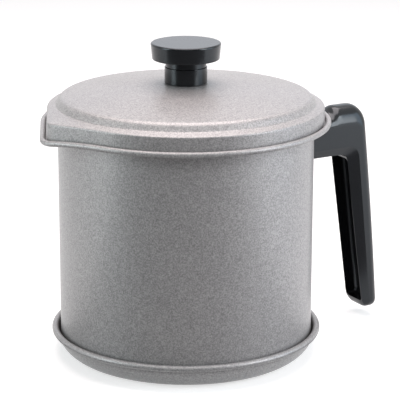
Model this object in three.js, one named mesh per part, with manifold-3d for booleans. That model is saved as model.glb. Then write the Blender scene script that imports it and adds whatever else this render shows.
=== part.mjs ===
// Bacon grease container: a coated steel pot on a drip tray, with a lift-out strainer, a lid and a
// moulded side handle. Millimetres, +Z up. The origin is the centre of the tray's underside, the
// handle points along +X and the pouring spout along -X.

import * as THREE from 'three';
import { mergeVertices } from 'three/addons/utils/BufferGeometryUtils.js';
import Module from 'manifold-3d';

// Fits and facets
const fitGap = 0.3;
const cutOverrun = 4;
const shellSegments = 48;
const smallSegments = 24;
const arcSteps = 4;
const bendSteps = 3;
const beadSteps = 9;
const mergeShare = 0.001;

// Drip tray
const traySheet = 0.8;
const trayRoom = 1.35;
const trayCornerRadius = 13.4;
const trayHeight = 14.8;
const trayBeadRadius = 1.7;
const trayBeadStandOut = 0.85;

// Pot
const potSheet = 0.8;
const potRadius = 67.5;
const potHeight = 126.6;
const potRimReach = 8.9;
const potBeadRadius = 1.5;
const potFlareRadius = 2;
const rimStep = 2;

// Pouring spout, drawn out of the rim and of the lid above it
const spoutLength = 7.6;
const spoutTipRadius = 13;
const spoutDip = 2;
const spoutLeastRadius = 0.5;
const spoutCrowdShare = 0.65;
const spoutCrowdAngle = THREE.MathUtils.degToRad(65);

// Lid
const lidSheet = 0.8;
const lidRoom = 0.6;
const lidSkirtHeight = 8.9;
const lidEdgeRadius = 1;
const lidEdgeAngle = 75;
const lidFlangeWidth = 4.3;
const lidFlangeRise = 1.1;
const lidShoulderWidth = 5;
const lidShoulderRise = 4.3;
const lidShoulderBulgeShare = 0.64;
const lidShoulderTopShare = 0.13;
const lidShoulderFootShare = 0.5;
const lidDomeRise = 6;
const lidSeatRadius = 12.5;
const lidDomeSteps = 5;

// Knob, its collar and the screw that holds them
const knobTopRadius = 18.4;
const knobUnderRadius = 17.7;
const knobDiscHeight = 8.7;
const knobEdge = 0.8;
const knobNeckRadius = 10.7;
const knobNeckHeight = 3.8;
const collarRadius = 11.2;
const collarHeight = 8.4;
const insertRadius = 3.6;
const insertLength = 8;
const knobScrewRadius = 2.4;
const knobScrewHeadRadius = 4.6;
const knobScrewHeadHeight = 2.8;
const knobScrewReachShare = 0.9;
const screwHeadFlatShare = 0.7;
const knobWasherRadius = 4.4;
const knobWasherSheet = 1.2;

// Strainer
const strainerSheet = 0.6;
const strainerRoom = 1.1;
const strainerFlangeRoom = 0.8;
const strainerBendRadius = 1.4;
const strainerBandDepth = 12;
const strainerLipWidth = 3;
const meshSheet = 0.6;
const meshBowlDepth = 38;
const meshBowlSteps = 7;
const clampSheet = 0.8;
const clampWidth = 3;

// Pull tabs inside the strainer's band
const tabSheet = 1;
const tabWidth = 16;
const tabFold = 7;
const tabFoldRadius = 1.2;
const tabStandUp = 6.5;
const tabFoot = 1.5;

// Handle: a block against the pot's wall, a thumb rest and a grip that leans outwards
const handleWidth = 19;
const handleRound = 3;
const handleRoundSteps = 3;
const handleDrop = 4.2;
const blockDepth = 26.5;
const neckDrop = 4;
const thumbRestGap = 9.6;
const thumbRestRound = 8;
const fingerRoom = 30.5;
const gripTopDepth = 12.7;
const gripLowDepth = 10.6;
const gripLean = 12.3;
const gripBottom = 5.2;
const gripBow = 1.3;
const shoulderRound = 8.5;
const shoulderEaseShare = 0.35;
const crookRound = 5;
const toeRound = 4;
const innerToeRound = 9;

// Channel in the pot side of the grip
const channelWall = 1.9;
const channelBack = 3.6;
const channelToe = 4.2;
const channelHead = 3;
const channelRound = 2;

// Steel bracket on the pot's wall, and the screw that holds the handle on its tongue
const bracketSheet = 1.6;
const bracketWidth = 10;
const bracketCover = 10.7;
const bracketPlateHeight = 16;
const bracketTongueLength = 22;
const bracketBendRadius = 2.2;
const handleScrewRadius = 2;
const handleScrewHeadRadius = 3.8;
const handleScrewHeadHeight = 2.4;
const handleScrewFromWall = 15;
const handleScrewRecess = 2;
const handleScrewReach = 2.5;
const handleWasherSheet = 1;
const handleWasherRadius = 3.6;

// Radii that follow from the sizes above, outwards from the pot's wall
const trayWallRadius = potRadius + trayRoom + traySheet;
const trayFootRadius = trayWallRadius - trayCornerRadius;
const potRimRadius = potRadius + potRimReach;
const beadCentreR = potRimRadius - potBeadRadius;
const spoutReach = potRimRadius + spoutLength;
const lidSkirtRadius = beadCentreR - potBeadRadius - lidRoom;
const lidFootRadius = lidSkirtRadius - lidFlangeWidth;
const lidShoulderRadius = lidFootRadius - lidShoulderWidth;
const strainerFlangeRadius = lidSkirtRadius - lidSheet - strainerFlangeRoom;
const strainerBandRadius = potRadius - potSheet - strainerRoom;
const knobHole = knobScrewRadius + fitGap;
const thumbRestStart = potRimRadius + thumbRestGap;
const gripTopInner = potRadius + fingerRoom;
const gripTopOuter = gripTopInner + gripTopDepth;
const gripLowInner = gripTopInner + gripLean;
const gripLowOuter = gripLowInner + gripLowDepth;

// Heights that follow, upwards from the tray's underside
const potBase = traySheet + fitGap;
const potTop = potBase + potHeight;
const beadCentreZ = potTop - potBeadRadius;
const shelfTop = potTop - rimStep;
const shelfUnder = shelfTop - potSheet;
const skirtBottom = shelfTop + fitGap;
const skirtTop = skirtBottom + lidSkirtHeight;
const lidFootZ = skirtTop + lidFlangeRise;
const lidShoulderZ = lidFootZ + lidShoulderRise;
const lidSeatZ = lidShoulderZ + lidDomeRise;
const blockTop = potTop - handleDrop;
const blockUnder = blockTop - blockDepth;
const neckTop = blockTop - neckDrop;
const bracketTop = blockTop - bracketCover;

const wasm = await Module();
wasm.setup();

// Materials
function material(color, roughness, metalness) {
  return new THREE.MeshStandardMaterial({ color, roughness, metalness });
}
const coatedSteel = () => material(0x8e8a89, 0.5, 0.35);
const blackMoulding = () => material(0x35363a, 0.45, 0);
const stainless = () => material(0xb9bbbd, 0.3, 1);
const meshSteel = () => material(0x9a9da0, 0.4, 1);
const plainBrass = () => material(0xb08d4a, 0.35, 1);

// Outline helpers: a point is [radius or x, z]
function arc(centre, radius, from, to, steps = arcSteps) {
  const points = [];
  for (let i = 0; i <= steps; i++) {
    const angle = THREE.MathUtils.degToRad(from + ((to - from) * i) / steps);
    points.push([centre[0] + radius * Math.cos(angle), centre[1] + radius * Math.sin(angle)]);
  }
  return points;
}

// The same path moved sideways by a sheet's thickness, with mitred corners
function offsetPath(path, distance) {
  const normals = [];
  for (let i = 0; i + 1 < path.length; i++) {
    const dx = path[i + 1][0] - path[i][0];
    const dz = path[i + 1][1] - path[i][1];
    const length = Math.hypot(dx, dz);
    normals.push([-dz / length, dx / length]);
  }
  return path.map((point, i) => {
    const before = normals[Math.max(i - 1, 0)];
    const after = normals[Math.min(i, normals.length - 1)];
    const scale = distance / (1 + before[0] * after[0] + before[1] * after[1]);
    return [point[0] + (before[0] + after[0]) * scale, point[1] + (before[1] + after[1]) * scale];
  });
}

function sheetOutline(path, thickness) {
  return [...path, ...offsetPath(path, thickness).reverse()];
}

// Makes every face point outwards, whichever way round the outline was drawn
function faceOutwards(geometry) {
  const solid = geometry.index ? geometry.toNonIndexed() : geometry;
  const place = solid.getAttribute('position');
  const [a, b, c] = [new THREE.Vector3(), new THREE.Vector3(), new THREE.Vector3()];
  let volume = 0;
  for (let i = 0; i < place.count; i += 3) {
    a.fromBufferAttribute(place, i);
    b.fromBufferAttribute(place, i + 1);
    c.fromBufferAttribute(place, i + 2);
    volume += a.dot(b.cross(c));
  }
  if (volume < 0) {
    for (let i = 0; i < place.count; i += 3) {
      b.fromBufferAttribute(place, i + 1);
      c.fromBufferAttribute(place, i + 2);
      place.setXYZ(i + 1, c.x, c.y, c.z);
      place.setXYZ(i + 2, b.x, b.y, b.z);
    }
  }
  solid.deleteAttribute('normal');
  solid.deleteAttribute('uv');
  solid.computeVertexNormals();
  return solid;
}

// A closed outline turned about the Z axis
function turned(outline, segments = shellSegments) {
  const onAxis = outline[0][0] === 0;
  const closed = onAxis ? outline : [...outline, outline[0]];
  const points = closed.map(([r, z]) => new THREE.Vector2(r, z));
  const geometry = new THREE.LatheGeometry(points, segments);
  geometry.rotateX(Math.PI / 2);
  return faceOutwards(geometry);
}

// An outline in the XZ plane, drawn through the width along Y and centred on it
function acrossWidth(shape, width, bevel = 0, steps = 1) {
  const geometry = new THREE.ExtrudeGeometry(shape, {
    depth: width - 2 * bevel,
    bevelEnabled: bevel > 0,
    bevelThickness: bevel,
    bevelSize: bevel,
    bevelOffset: -bevel,
    bevelSegments: steps,
    curveSegments: 2 * steps,
  });
  geometry.translate(0, 0, bevel - width / 2);
  geometry.rotateX(Math.PI / 2);
  return faceOutwards(geometry);
}

function rod(radius, low, high, segments = smallSegments) {
  return turned([[0, low], [radius, low], [radius, high], [0, high]], segments);
}

function ring(inner, outer, low, high, segments = shellSegments) {
  return turned([[inner, low], [outer, low], [outer, high], [inner, high]], segments);
}

// Joins and cuts
function toSolid(geometry) {
  const plain = geometry.clone();
  plain.deleteAttribute('normal');
  plain.deleteAttribute('uv');
  const merged = mergeVertices(plain, fitGap * mergeShare);
  return new wasm.Manifold(
    new wasm.Mesh({
      numProp: 3,
      vertProperties: new Float32Array(merged.getAttribute('position').array),
      triVerts: new Uint32Array(merged.index.array),
    }),
  );
}

function fromSolid(solid) {
  const mesh = solid.getMesh();
  const geometry = new THREE.BufferGeometry();
  geometry.setAttribute('position', new THREE.BufferAttribute(new Float32Array(mesh.vertProperties), 3));
  geometry.setIndex(new THREE.BufferAttribute(new Uint32Array(mesh.triVerts), 1));
  return faceOutwards(geometry);
}

function cutFrom(geometry, ...tools) {
  let solid = toSolid(geometry);
  for (const tool of tools) {
    solid = solid.subtract(toSolid(tool));
  }
  return fromSolid(solid);
}

// The rim seen from above: a circle with a small tip circle in front of it, joined by tangents.
// The angle is measured from the spout, and every radius has its own parallel outline.
function rimOutline(radius, angle) {
  const tipCentre = spoutReach - spoutTipRadius;
  const tip = Math.max(spoutTipRadius + radius - potRimRadius, spoutLeastRadius);
  const tangent = Math.acos((radius - tip) / tipCentre);
  const tipEnd = Math.atan2(tip * Math.sin(tangent), tipCentre + tip * Math.cos(tangent));
  if (angle >= tangent) {
    return radius;
  }
  if (angle >= tipEnd) {
    return radius / Math.cos(tangent - angle);
  }
  const side = tipCentre * Math.sin(angle);
  return tipCentre * Math.cos(angle) + Math.sqrt(tip * tip - side * side);
}

// Draws a turned shell out to the spout between two radii, and crowds its facets round the tip.
// The spout dips at its tip, from a height where it is level down to one where the dip is full.
function drawSpout(geometry, innerRadius, outerRadius, levelZ, dippedZ) {
  const place = geometry.getAttribute('position');
  for (let i = 0; i < place.count; i++) {
    const radius = Math.hypot(place.getX(i), place.getY(i));
    const share = THREE.MathUtils.clamp((radius - innerRadius) / (outerRadius - innerRadius), 0, 1);
    if (share === 0) {
      continue;
    }
    const turn = Math.atan2(place.getY(i), -place.getX(i));
    const near = 1 - (turn / spoutCrowdAngle) ** 2;
    const crowd = near > 0 ? spoutCrowdShare * share * near * near : 0;
    const angle = turn * (1 - crowd);
    const pull = share * (rimOutline(radius, Math.abs(angle)) - radius);
    const sink = THREE.MathUtils.clamp((levelZ - place.getZ(i)) / (levelZ - dippedZ), 0, 1);
    const drawn = radius + pull;
    const height = place.getZ(i) - (spoutDip * sink * pull) / (spoutReach - potRimRadius);
    place.setXYZ(i, -drawn * Math.cos(angle), drawn * Math.sin(angle), height);
  }
  geometry.computeVertexNormals();
  return geometry;
}

// Drip tray
function dripTray() {
  const cornerRadius = trayWallRadius - trayFootRadius;
  const inner = trayWallRadius - traySheet;
  const beadR = trayWallRadius + trayBeadStandOut;
  const beadZ = trayHeight - trayBeadRadius;
  const underAngle = THREE.MathUtils.radToDeg(Math.acos(-trayBeadStandOut / trayBeadRadius));
  const overAngle = THREE.MathUtils.radToDeg(Math.acos((inner - beadR) / trayBeadRadius));
  return turned([
    [0, 0],
    ...arc([trayFootRadius, cornerRadius], cornerRadius, -90, 0),
    ...arc([beadR, beadZ], trayBeadRadius, -underAngle, overAngle, beadSteps),
    ...arc([trayFootRadius, cornerRadius], cornerRadius - traySheet, 0, -90),
    [0, traySheet],
  ]);
}

// Pot body, from its base to the rolled bead round its rim
function potBody() {
  const cornerRadius = potRadius - trayFootRadius;
  const corner = [trayFootRadius, potBase + cornerRadius];
  const flare = [potRadius + potFlareRadius, shelfUnder - potFlareRadius];
  const bead = [beadCentreR, beadCentreZ];
  const underAngle = THREE.MathUtils.radToDeg(Math.asin((shelfUnder - beadCentreZ) / potBeadRadius));
  const overAngle = THREE.MathUtils.radToDeg(Math.asin((shelfTop - beadCentreZ) / potBeadRadius));
  const shell = turned([
    [0, potBase],
    ...arc(corner, cornerRadius, -90, 0),
    ...arc(flare, potFlareRadius, 180, 90),
    ...arc(bead, potBeadRadius, -180 - underAngle, 180 - overAngle, beadSteps),
    ...arc(flare, potFlareRadius + potSheet, 90, 180),
    ...arc(corner, cornerRadius - potSheet, 0, -90),
    [0, potBase + potSheet],
  ]);
  return drawSpout(shell, potRadius, beadCentreR - potBeadRadius, potTop + rimStep, potTop);
}

// Lid, from the screw hole in its middle to the foot of its skirt
function lidShell() {
  const dome = [];
  const seatArea = lidSeatRadius ** 2;
  for (let i = 0; i <= lidDomeSteps; i++) {
    const r = lidSeatRadius + ((lidShoulderRadius - lidSeatRadius) * i) / lidDomeSteps;
    const drop = (r * r - seatArea) / (lidShoulderRadius ** 2 - seatArea);
    dome.push([r, lidSeatZ - lidDomeRise * drop]);
  }
  const shoulderBulge = lidShoulderRadius + lidShoulderWidth * lidShoulderBulgeShare;
  const shoulder = new THREE.CubicBezierCurve(
    new THREE.Vector2(lidShoulderRadius, lidShoulderZ),
    new THREE.Vector2(shoulderBulge, lidShoulderZ - lidShoulderRise * lidShoulderTopShare),
    new THREE.Vector2(shoulderBulge, lidFootZ + lidShoulderRise * lidShoulderFootShare),
    new THREE.Vector2(lidFootRadius, lidFootZ),
  );
  const edge = [lidSkirtRadius - lidEdgeRadius, skirtTop - lidEdgeRadius];
  const outer = [
    [knobHole, lidSeatZ],
    ...dome,
    ...shoulder.getPoints(arcSteps).slice(1).map((p) => [p.x, p.y]),
    ...arc(edge, lidEdgeRadius, lidEdgeAngle, 0, bendSteps),
    [lidSkirtRadius, skirtBottom],
  ];
  const shell = turned(sheetOutline(outer, -lidSheet));
  return drawSpout(shell, lidFootRadius, lidSkirtRadius - lidSheet, lidShoulderZ, skirtBottom);
}

// Knob: a disc on a neck, with a blind bore for its threaded insert
const collarBase = lidSeatZ + fitGap;
const neckBase = collarBase + collarHeight + fitGap;
const discUnder = neckBase + knobNeckHeight;
const knobTop = discUnder + knobDiscHeight;
const insertBase = neckBase + fitGap;
const insertTop = insertBase + insertLength;

function knobCap() {
  const bore = insertRadius + fitGap;
  return turned([
    [0, knobTop],
    [knobTopRadius - knobEdge, knobTop],
    [knobTopRadius, knobTop - knobEdge],
    [knobUnderRadius, discUnder + knobEdge],
    [knobUnderRadius - knobEdge, discUnder],
    [knobNeckRadius, discUnder],
    [knobNeckRadius, neckBase],
    [bore, neckBase],
    [bore, insertTop + fitGap],
    [0, insertTop + fitGap],
  ]);
}

function knobCollar() {
  return ring(knobHole, collarRadius, collarBase, collarBase + collarHeight);
}

function knobInsert() {
  return ring(knobHole, insertRadius, insertBase, insertTop, smallSegments);
}

const knobWasherTop = lidSeatZ - lidSheet - fitGap;
const knobHeadTop = knobWasherTop - knobWasherSheet - fitGap;

function knobWasher() {
  return ring(knobHole, knobWasherRadius, knobWasherTop - knobWasherSheet, knobWasherTop, smallSegments);
}

// A pan head with a shank that stands on it
function panScrew(radius, headRadius, headHeight, headTop, shankTop) {
  const headLow = headTop - headHeight;
  return turned(
    [
      [0, headLow],
      [headRadius * screwHeadFlatShare, headLow],
      [headRadius, headLow + headHeight / 2],
      [headRadius, headTop],
      [radius, headTop],
      [radius, shankTop],
      [0, shankTop],
    ],
    smallSegments,
  );
}

function knobScrew() {
  const tip = insertBase + insertLength * knobScrewReachShare;
  return panScrew(knobScrewRadius, knobScrewHeadRadius, knobScrewHeadHeight, knobHeadTop, tip);
}

// Strainer: a flanged band, a mesh bowl on its lip and a ring that clamps the mesh
const flangeUnder = shelfTop + fitGap;
const lipUnder = flangeUnder - strainerBandDepth;
const lipTop = lipUnder + strainerSheet;
const lipInner = strainerBandRadius - strainerLipWidth;
const bandInner = strainerBandRadius - strainerSheet;
const meshEdgeUnder = lipTop + fitGap;
const meshEdgeTop = meshEdgeUnder + meshSheet;
const clampUnder = meshEdgeTop + fitGap;
const clampTop = clampUnder + clampSheet;

function strainerRing() {
  const bendCentre = [strainerBandRadius + strainerBendRadius, flangeUnder - strainerBendRadius];
  const outer = [
    [lipInner, lipUnder],
    [strainerBandRadius, lipUnder],
    ...arc(bendCentre, strainerBendRadius, 180, 90, bendSteps),
    [strainerFlangeRadius, flangeUnder],
  ];
  return turned(sheetOutline(outer, strainerSheet));
}

function strainerMesh() {
  const bowlRadius = lipInner - fitGap;
  const rimHeight = meshEdgeUnder - strainerSheet;
  const bowl = [];
  for (let i = 0; i <= meshBowlSteps; i++) {
    const angle = (Math.PI / 2) * (1 - i / meshBowlSteps);
    bowl.push([bowlRadius * Math.cos(angle), rimHeight - meshBowlDepth * Math.sin(angle)]);
  }
  bowl[0][0] = 0;
  const outer = [...bowl, [bowlRadius, meshEdgeUnder], [bandInner - fitGap, meshEdgeUnder]];
  const inner = offsetPath(outer, meshSheet).reverse();
  inner[inner.length - 1][0] = 0;
  return turned([...outer, ...inner]);
}

function strainerClampRing() {
  const outer = bandInner - fitGap;
  return ring(outer - clampWidth, outer, clampUnder, clampTop);
}

// A folded tab that stands up inside the band and turns inwards for a finger to pull
function pullTab() {
  const corner = bandInner - fitGap;
  const face = Math.sqrt(corner ** 2 - (tabWidth / 2) ** 2);
  const low = clampTop + tabFoot;
  const high = flangeUnder + tabStandUp;
  const fold = [face - tabFoldRadius - tabSheet, high - tabFoldRadius - tabSheet];
  const path = [
    [face, low],
    ...arc(fold, tabFoldRadius + tabSheet, 0, 90, bendSteps),
    [face - tabFold, high],
  ];
  const outline = sheetOutline(path, tabSheet).map(([x, z]) => new THREE.Vector2(x, z));
  return acrossWidth(new THREE.Shape(outline), tabWidth);
}

// Handle outlines, side view
function gripOutline() {
  const shape = new THREE.Shape();
  const wall = potRadius - cutOverrun;
  const lean = (gripLowOuter - gripTopOuter) / (blockTop - shoulderRound - gripBottom);
  const midZ = (blockTop - shoulderRound + gripBottom) / 2;
  const midX = (gripTopOuter + gripLowOuter) / 2 + gripBow;
  shape.moveTo(wall, blockUnder);
  shape.lineTo(gripTopInner - crookRound, blockUnder);
  shape.quadraticCurveTo(gripTopInner, blockUnder, gripTopInner + lean * crookRound, blockUnder - crookRound);
  shape.lineTo(gripLowInner - lean * innerToeRound, gripBottom + innerToeRound);
  shape.quadraticCurveTo(gripLowInner, gripBottom, gripLowInner + toeRound, gripBottom);
  shape.lineTo(gripLowOuter - toeRound, gripBottom);
  shape.quadraticCurveTo(gripLowOuter, gripBottom, gripLowOuter, gripBottom + toeRound);
  shape.quadraticCurveTo(midX, midZ, gripTopOuter, blockTop - shoulderRound);
  shape.bezierCurveTo(
    gripTopOuter - lean * shoulderRound, blockTop - shoulderRound * shoulderEaseShare,
    gripTopOuter - shoulderRound / 2, blockTop,
    gripTopOuter - shoulderRound, blockTop,
  );
  shape.lineTo(thumbRestStart + thumbRestRound, blockTop);
  shape.bezierCurveTo(
    thumbRestStart + thumbRestRound / 2, blockTop,
    thumbRestStart + thumbRestRound / 2, neckTop,
    thumbRestStart, neckTop,
  );
  shape.lineTo(wall, neckTop);
  shape.closePath();
  return shape;
}

function channelOutline() {
  const shape = new THREE.Shape();
  const high = blockUnder - channelHead;
  const low = gripBottom + channelToe;
  const mouth = potRadius + cutOverrun;
  const backHigh = gripTopOuter - channelBack;
  const backLow = gripLowOuter - channelBack;
  shape.moveTo(mouth, low);
  shape.lineTo(backLow - channelRound, low);
  shape.quadraticCurveTo(backLow, low, backLow, low + channelRound);
  shape.lineTo(backHigh, high - channelRound);
  shape.quadraticCurveTo(backHigh, high, backHigh - channelRound, high);
  shape.lineTo(mouth, high);
  shape.closePath();
  return shape;
}

// Bracket: a plate against the pot's wall and a tongue that runs into the handle
const bracketFace = potRadius + fitGap;
const tongueUnder = bracketTop - bracketSheet;
const screwX = potRadius + handleScrewFromWall;

function bracketOutline(room) {
  const outer = bracketFace + bracketBendRadius + bracketSheet;
  const bend = [outer, bracketTop - bracketBendRadius - bracketSheet];
  const path = [
    [bracketFace, bracketTop - bracketPlateHeight],
    ...arc(bend, bracketBendRadius + bracketSheet, 180, 90, bendSteps),
    [bracketFace + bracketTongueLength, bracketTop],
  ];
  const outline = sheetOutline(offsetPath(path, room), -bracketSheet - 2 * room);
  const end = outline.length / 2;
  outline[0][1] -= room;
  outline[outline.length - 1][1] -= room;
  outline[end - 1][0] += room;
  outline[end][0] += room;
  return new THREE.Shape(outline.map(([x, z]) => new THREE.Vector2(x, z)));
}

// The pot's wall as a cutting tool, one clearance larger than the wall
function wallTool() {
  return rod(potRadius + fitGap, -cutOverrun, potTop + cutOverrun, shellSegments);
}

const handleHeadUnder = blockUnder + handleScrewRecess;
const handleHeadTop = handleHeadUnder + handleScrewHeadHeight;
const handleWasherUnder = handleHeadTop + fitGap;
const handleWasherTop = handleWasherUnder + handleWasherSheet;
const handleScrewTop = bracketTop + handleScrewReach;

function screwRoom() {
  const recess = handleScrewHeadRadius + fitGap;
  const hole = handleScrewRadius + fitGap;
  const shelf = handleWasherTop + fitGap;
  const room = turned(
    [
      [0, blockUnder - cutOverrun],
      [recess, blockUnder - cutOverrun],
      [recess, shelf],
      [hole, shelf],
      [hole, handleScrewTop + fitGap],
      [0, handleScrewTop + fitGap],
    ],
    smallSegments,
  );
  return room.translate(screwX, 0, 0);
}

function handleGrip() {
  const body = acrossWidth(gripOutline(), handleWidth, handleRound, handleRoundSteps);
  const channel = acrossWidth(channelOutline(), handleWidth - 2 * channelWall);
  const bracketRoom = acrossWidth(bracketOutline(fitGap), bracketWidth + 2 * fitGap);
  return cutFrom(body, wallTool(), channel, bracketRoom, screwRoom());
}

function handleBracket() {
  const plate = acrossWidth(bracketOutline(0), bracketWidth);
  const hole = rod(handleScrewRadius + fitGap, tongueUnder - cutOverrun, bracketTop + cutOverrun);
  return cutFrom(plate, hole.translate(screwX, 0, 0));
}

function handleScrew() {
  return panScrew(
    handleScrewRadius, handleScrewHeadRadius, handleScrewHeadHeight, handleHeadTop, handleScrewTop,
  );
}

function handleWasher() {
  const hole = handleScrewRadius + fitGap;
  return ring(hole, handleWasherRadius, handleWasherUnder, handleWasherTop, smallSegments);
}

// Assembly
function piece(name, geometry, finish) {
  const mesh = new THREE.Mesh(geometry, finish);
  mesh.name = name;
  return mesh;
}

const tray = new THREE.Group();
tray.add(piece('drip_tray', dripTray(), coatedSteel()));

const pot = new THREE.Group();
pot.add(piece('pot_body', potBody(), coatedSteel()));
pot.add(piece('handle_grip', handleGrip(), blackMoulding()));
pot.add(piece('handle_bracket', handleBracket(), stainless()));
for (const fastener of [
  piece('handle_screw', handleScrew(), stainless()),
  piece('handle_washer', handleWasher(), stainless()),
]) {
  fastener.position.x = screwX;
  pot.add(fastener);
}

const strainer = new THREE.Group();
strainer.add(piece('strainer_ring', strainerRing(), stainless()));
strainer.add(piece('strainer_mesh', strainerMesh(), meshSteel()));
strainer.add(piece('strainer_clamp_ring', strainerClampRing(), stainless()));
for (const [name, turn] of [['strainer_tab_left', 1], ['strainer_tab_right', -1]]) {
  const tab = piece(name, pullTab(), stainless());
  tab.rotation.z = (turn * Math.PI) / 2;
  strainer.add(tab);
}

const lid = new THREE.Group();
lid.add(piece('lid_shell', lidShell(), coatedSteel()));
lid.add(piece('knob_collar', knobCollar(), blackMoulding()));
lid.add(piece('knob_cap', knobCap(), blackMoulding()));
lid.add(piece('knob_insert', knobInsert(), plainBrass()));
lid.add(piece('knob_washer', knobWasher(), stainless()));
lid.add(piece('knob_screw', knobScrew(), stainless()));

const container = new THREE.Group();
container.add(tray, pot, strainer, lid);

export default container;
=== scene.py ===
"""Bacon grease container: a coated steel pot with a pouring spout on a drip tray, with a lift-out
strainer, a domed lid with a knob, and a moulded side handle.

The frame is the container's own, in metres: +Z is up, the handle points along +X and the spout
along -X, and the origin is the middle of the tray's underside.
"""

import math

import bmesh
import bpy
from mathutils import Matrix, Vector


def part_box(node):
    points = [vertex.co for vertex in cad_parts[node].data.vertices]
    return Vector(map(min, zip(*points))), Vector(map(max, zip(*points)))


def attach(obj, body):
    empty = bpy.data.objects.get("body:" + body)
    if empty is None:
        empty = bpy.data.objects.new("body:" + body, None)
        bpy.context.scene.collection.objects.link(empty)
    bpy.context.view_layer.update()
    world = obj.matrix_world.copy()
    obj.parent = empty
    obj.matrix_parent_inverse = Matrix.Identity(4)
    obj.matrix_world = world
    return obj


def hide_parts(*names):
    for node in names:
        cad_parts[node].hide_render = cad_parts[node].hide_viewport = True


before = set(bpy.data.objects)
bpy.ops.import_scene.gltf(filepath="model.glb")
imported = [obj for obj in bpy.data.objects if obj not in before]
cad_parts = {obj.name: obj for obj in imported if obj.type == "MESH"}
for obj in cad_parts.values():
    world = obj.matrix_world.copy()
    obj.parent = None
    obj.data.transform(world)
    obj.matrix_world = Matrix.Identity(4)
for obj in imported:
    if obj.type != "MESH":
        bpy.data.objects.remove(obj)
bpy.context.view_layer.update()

mm = 0.001

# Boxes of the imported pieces, which give most places and reaches
tray_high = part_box("drip_tray")[1]
pot_low, pot_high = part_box("pot_body")
lid_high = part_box("lid_shell")[1]
cap_low, cap_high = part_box("knob_cap")
collar_low, collar_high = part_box("knob_collar")
band_low, band_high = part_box("strainer_ring")
weave_low, weave_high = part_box("strainer_mesh")
clamp_low, clamp_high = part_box("strainer_clamp_ring")
tab_low, tab_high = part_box("strainer_tab_left")
grip_low, grip_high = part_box("handle_grip")
bracket_low, bracket_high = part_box("handle_bracket")
knob_screw_low, knob_screw_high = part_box("knob_screw")
knob_washer_low, knob_washer_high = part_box("knob_washer")
handle_screw_low, handle_screw_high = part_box("handle_screw")
handle_washer_low, handle_washer_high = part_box("handle_washer")

# Facets, with creases in degrees
shell_segments = 256
small_segments = 96
corner_steps = 10
crown_steps = 20
bead_steps = 28
hem_steps = 6
hold = 0.15 * mm
straight_least = 2 * mm
weld = 0.001 * mm
sheet_crease = 35
moulding_crease = 14
wire_crease = 60

# Fits
fit_gap = 0.3 * mm
overrun = 4 * mm

# Drip tray and pot
tray_sheet = 0.8 * mm
tray_corner = 13.4 * mm
tray_bead = 1.7 * mm
tray_bead_stand_out = 0.85 * mm
pot_sheet = 0.8 * mm
pot_radius = 67.5 * mm
pot_bead = 1.5 * mm
pot_flare = 2 * mm
rim_step = 2 * mm

# Angle in degrees at which the curls of the rims end, from straight outwards
curl_end = -150

# Pouring spout
spout_tip = 13 * mm
spout_dip = 2 * mm
spout_least = 0.5 * mm
spout_crowd_share = 0.65
spout_crowd_angle = math.radians(65)

# Lid, with the angle of its edge in degrees
lid_sheet = 0.8 * mm
lid_edge = 1 * mm
lid_edge_angle = 75
lid_flange_width = 4.3 * mm
lid_flange_rise = 1.1 * mm
lid_shoulder_width = 5 * mm
lid_shoulder_rise = 4.3 * mm
lid_shoulder_bulge_share = 0.64
lid_shoulder_top_share = 0.13
lid_shoulder_foot_share = 0.5
lid_skirt_height = 8.9 * mm
lid_dome_rise = 6 * mm
lid_seat = 12.5 * mm
lid_dome_steps = 24
lid_shoulder_steps = 14

# Knob
knob_under = 17.7 * mm
knob_disc = 8.7 * mm
knob_edge = 0.9 * mm
knob_foot_edge = 0.6 * mm
knob_neck = 10.7 * mm
knob_neck_corner = 0.5 * mm
knob_hole = 2.7 * mm
insert_bore = 3.9 * mm
insert_room = 8.6 * mm
moulding_edge = 0.12 * mm
neck_reach = 0.2 * mm

# Strainer
strainer_sheet = 0.6 * mm
strainer_band = 65.6 * mm
strainer_bend = 1.4 * mm
strainer_lip = 3 * mm
clamp_width = 3 * mm
bowl_rim_drop = 0.6 * mm
wire_pitch = 1.5 * mm
wire_radius = 0.2 * mm
tab_sheet = 1 * mm
tab_fold = 1.2 * mm
tab_corner = 3 * mm
tab_round = 2.4 * mm
tab_edge = tab_sheet / 6

# Handle
thumb_start = 86 * mm
thumb_round = 8 * mm
neck_drop = 4 * mm
block_depth = 26.5 * mm
finger_room = 30.5 * mm
grip_top_depth = 12.7 * mm
grip_low_depth = 10.6 * mm
grip_bow = 1.3 * mm
shoulder_round = 8.5 * mm
shoulder_ease_share = 0.35
crook_round = 5 * mm
toe_round = 4 * mm
inner_toe_round = 9 * mm
crown_height = 10 * mm
crown_shape = 2.15
back_round = 5 * mm
toe_share = 0.4
bevel_depth = 1.6 * mm
bevel_top = 6.5 * mm
bevel_low = 4.2 * mm
bevel_under = 4.3 * mm
rim_round = 0.3 * mm
channel_wall = 1.9 * mm
channel_depth = 7.2 * mm
channel_draft = 0.6 * mm
channel_corner = 2 * mm
channel_toe = 4.2 * mm
channel_head = 3 * mm
bracket_sheet = 1.6 * mm
handle_recess = 4.1 * mm

# Screws and washers
knob_screw_shank = 2.4 * mm
knob_screw_head = 2.8 * mm
handle_screw_shank = 2 * mm
handle_screw_head = 2.4 * mm
handle_washer_bore = 2.3 * mm
cross_slot = 0.9 * mm


# Outlines in the plane of radius and height

def arc(centre, radius, start, end, steps=corner_steps):
    """Points of a round stretch, with its angles in degrees."""
    points = []
    for i in range(steps + 1):
        angle = math.radians(start + (end - start) * i / steps)
        across = centre[0] + radius * math.cos(angle)
        up = centre[1] + radius * math.sin(angle)
        points.append(Vector((across, up)))
    return points


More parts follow.
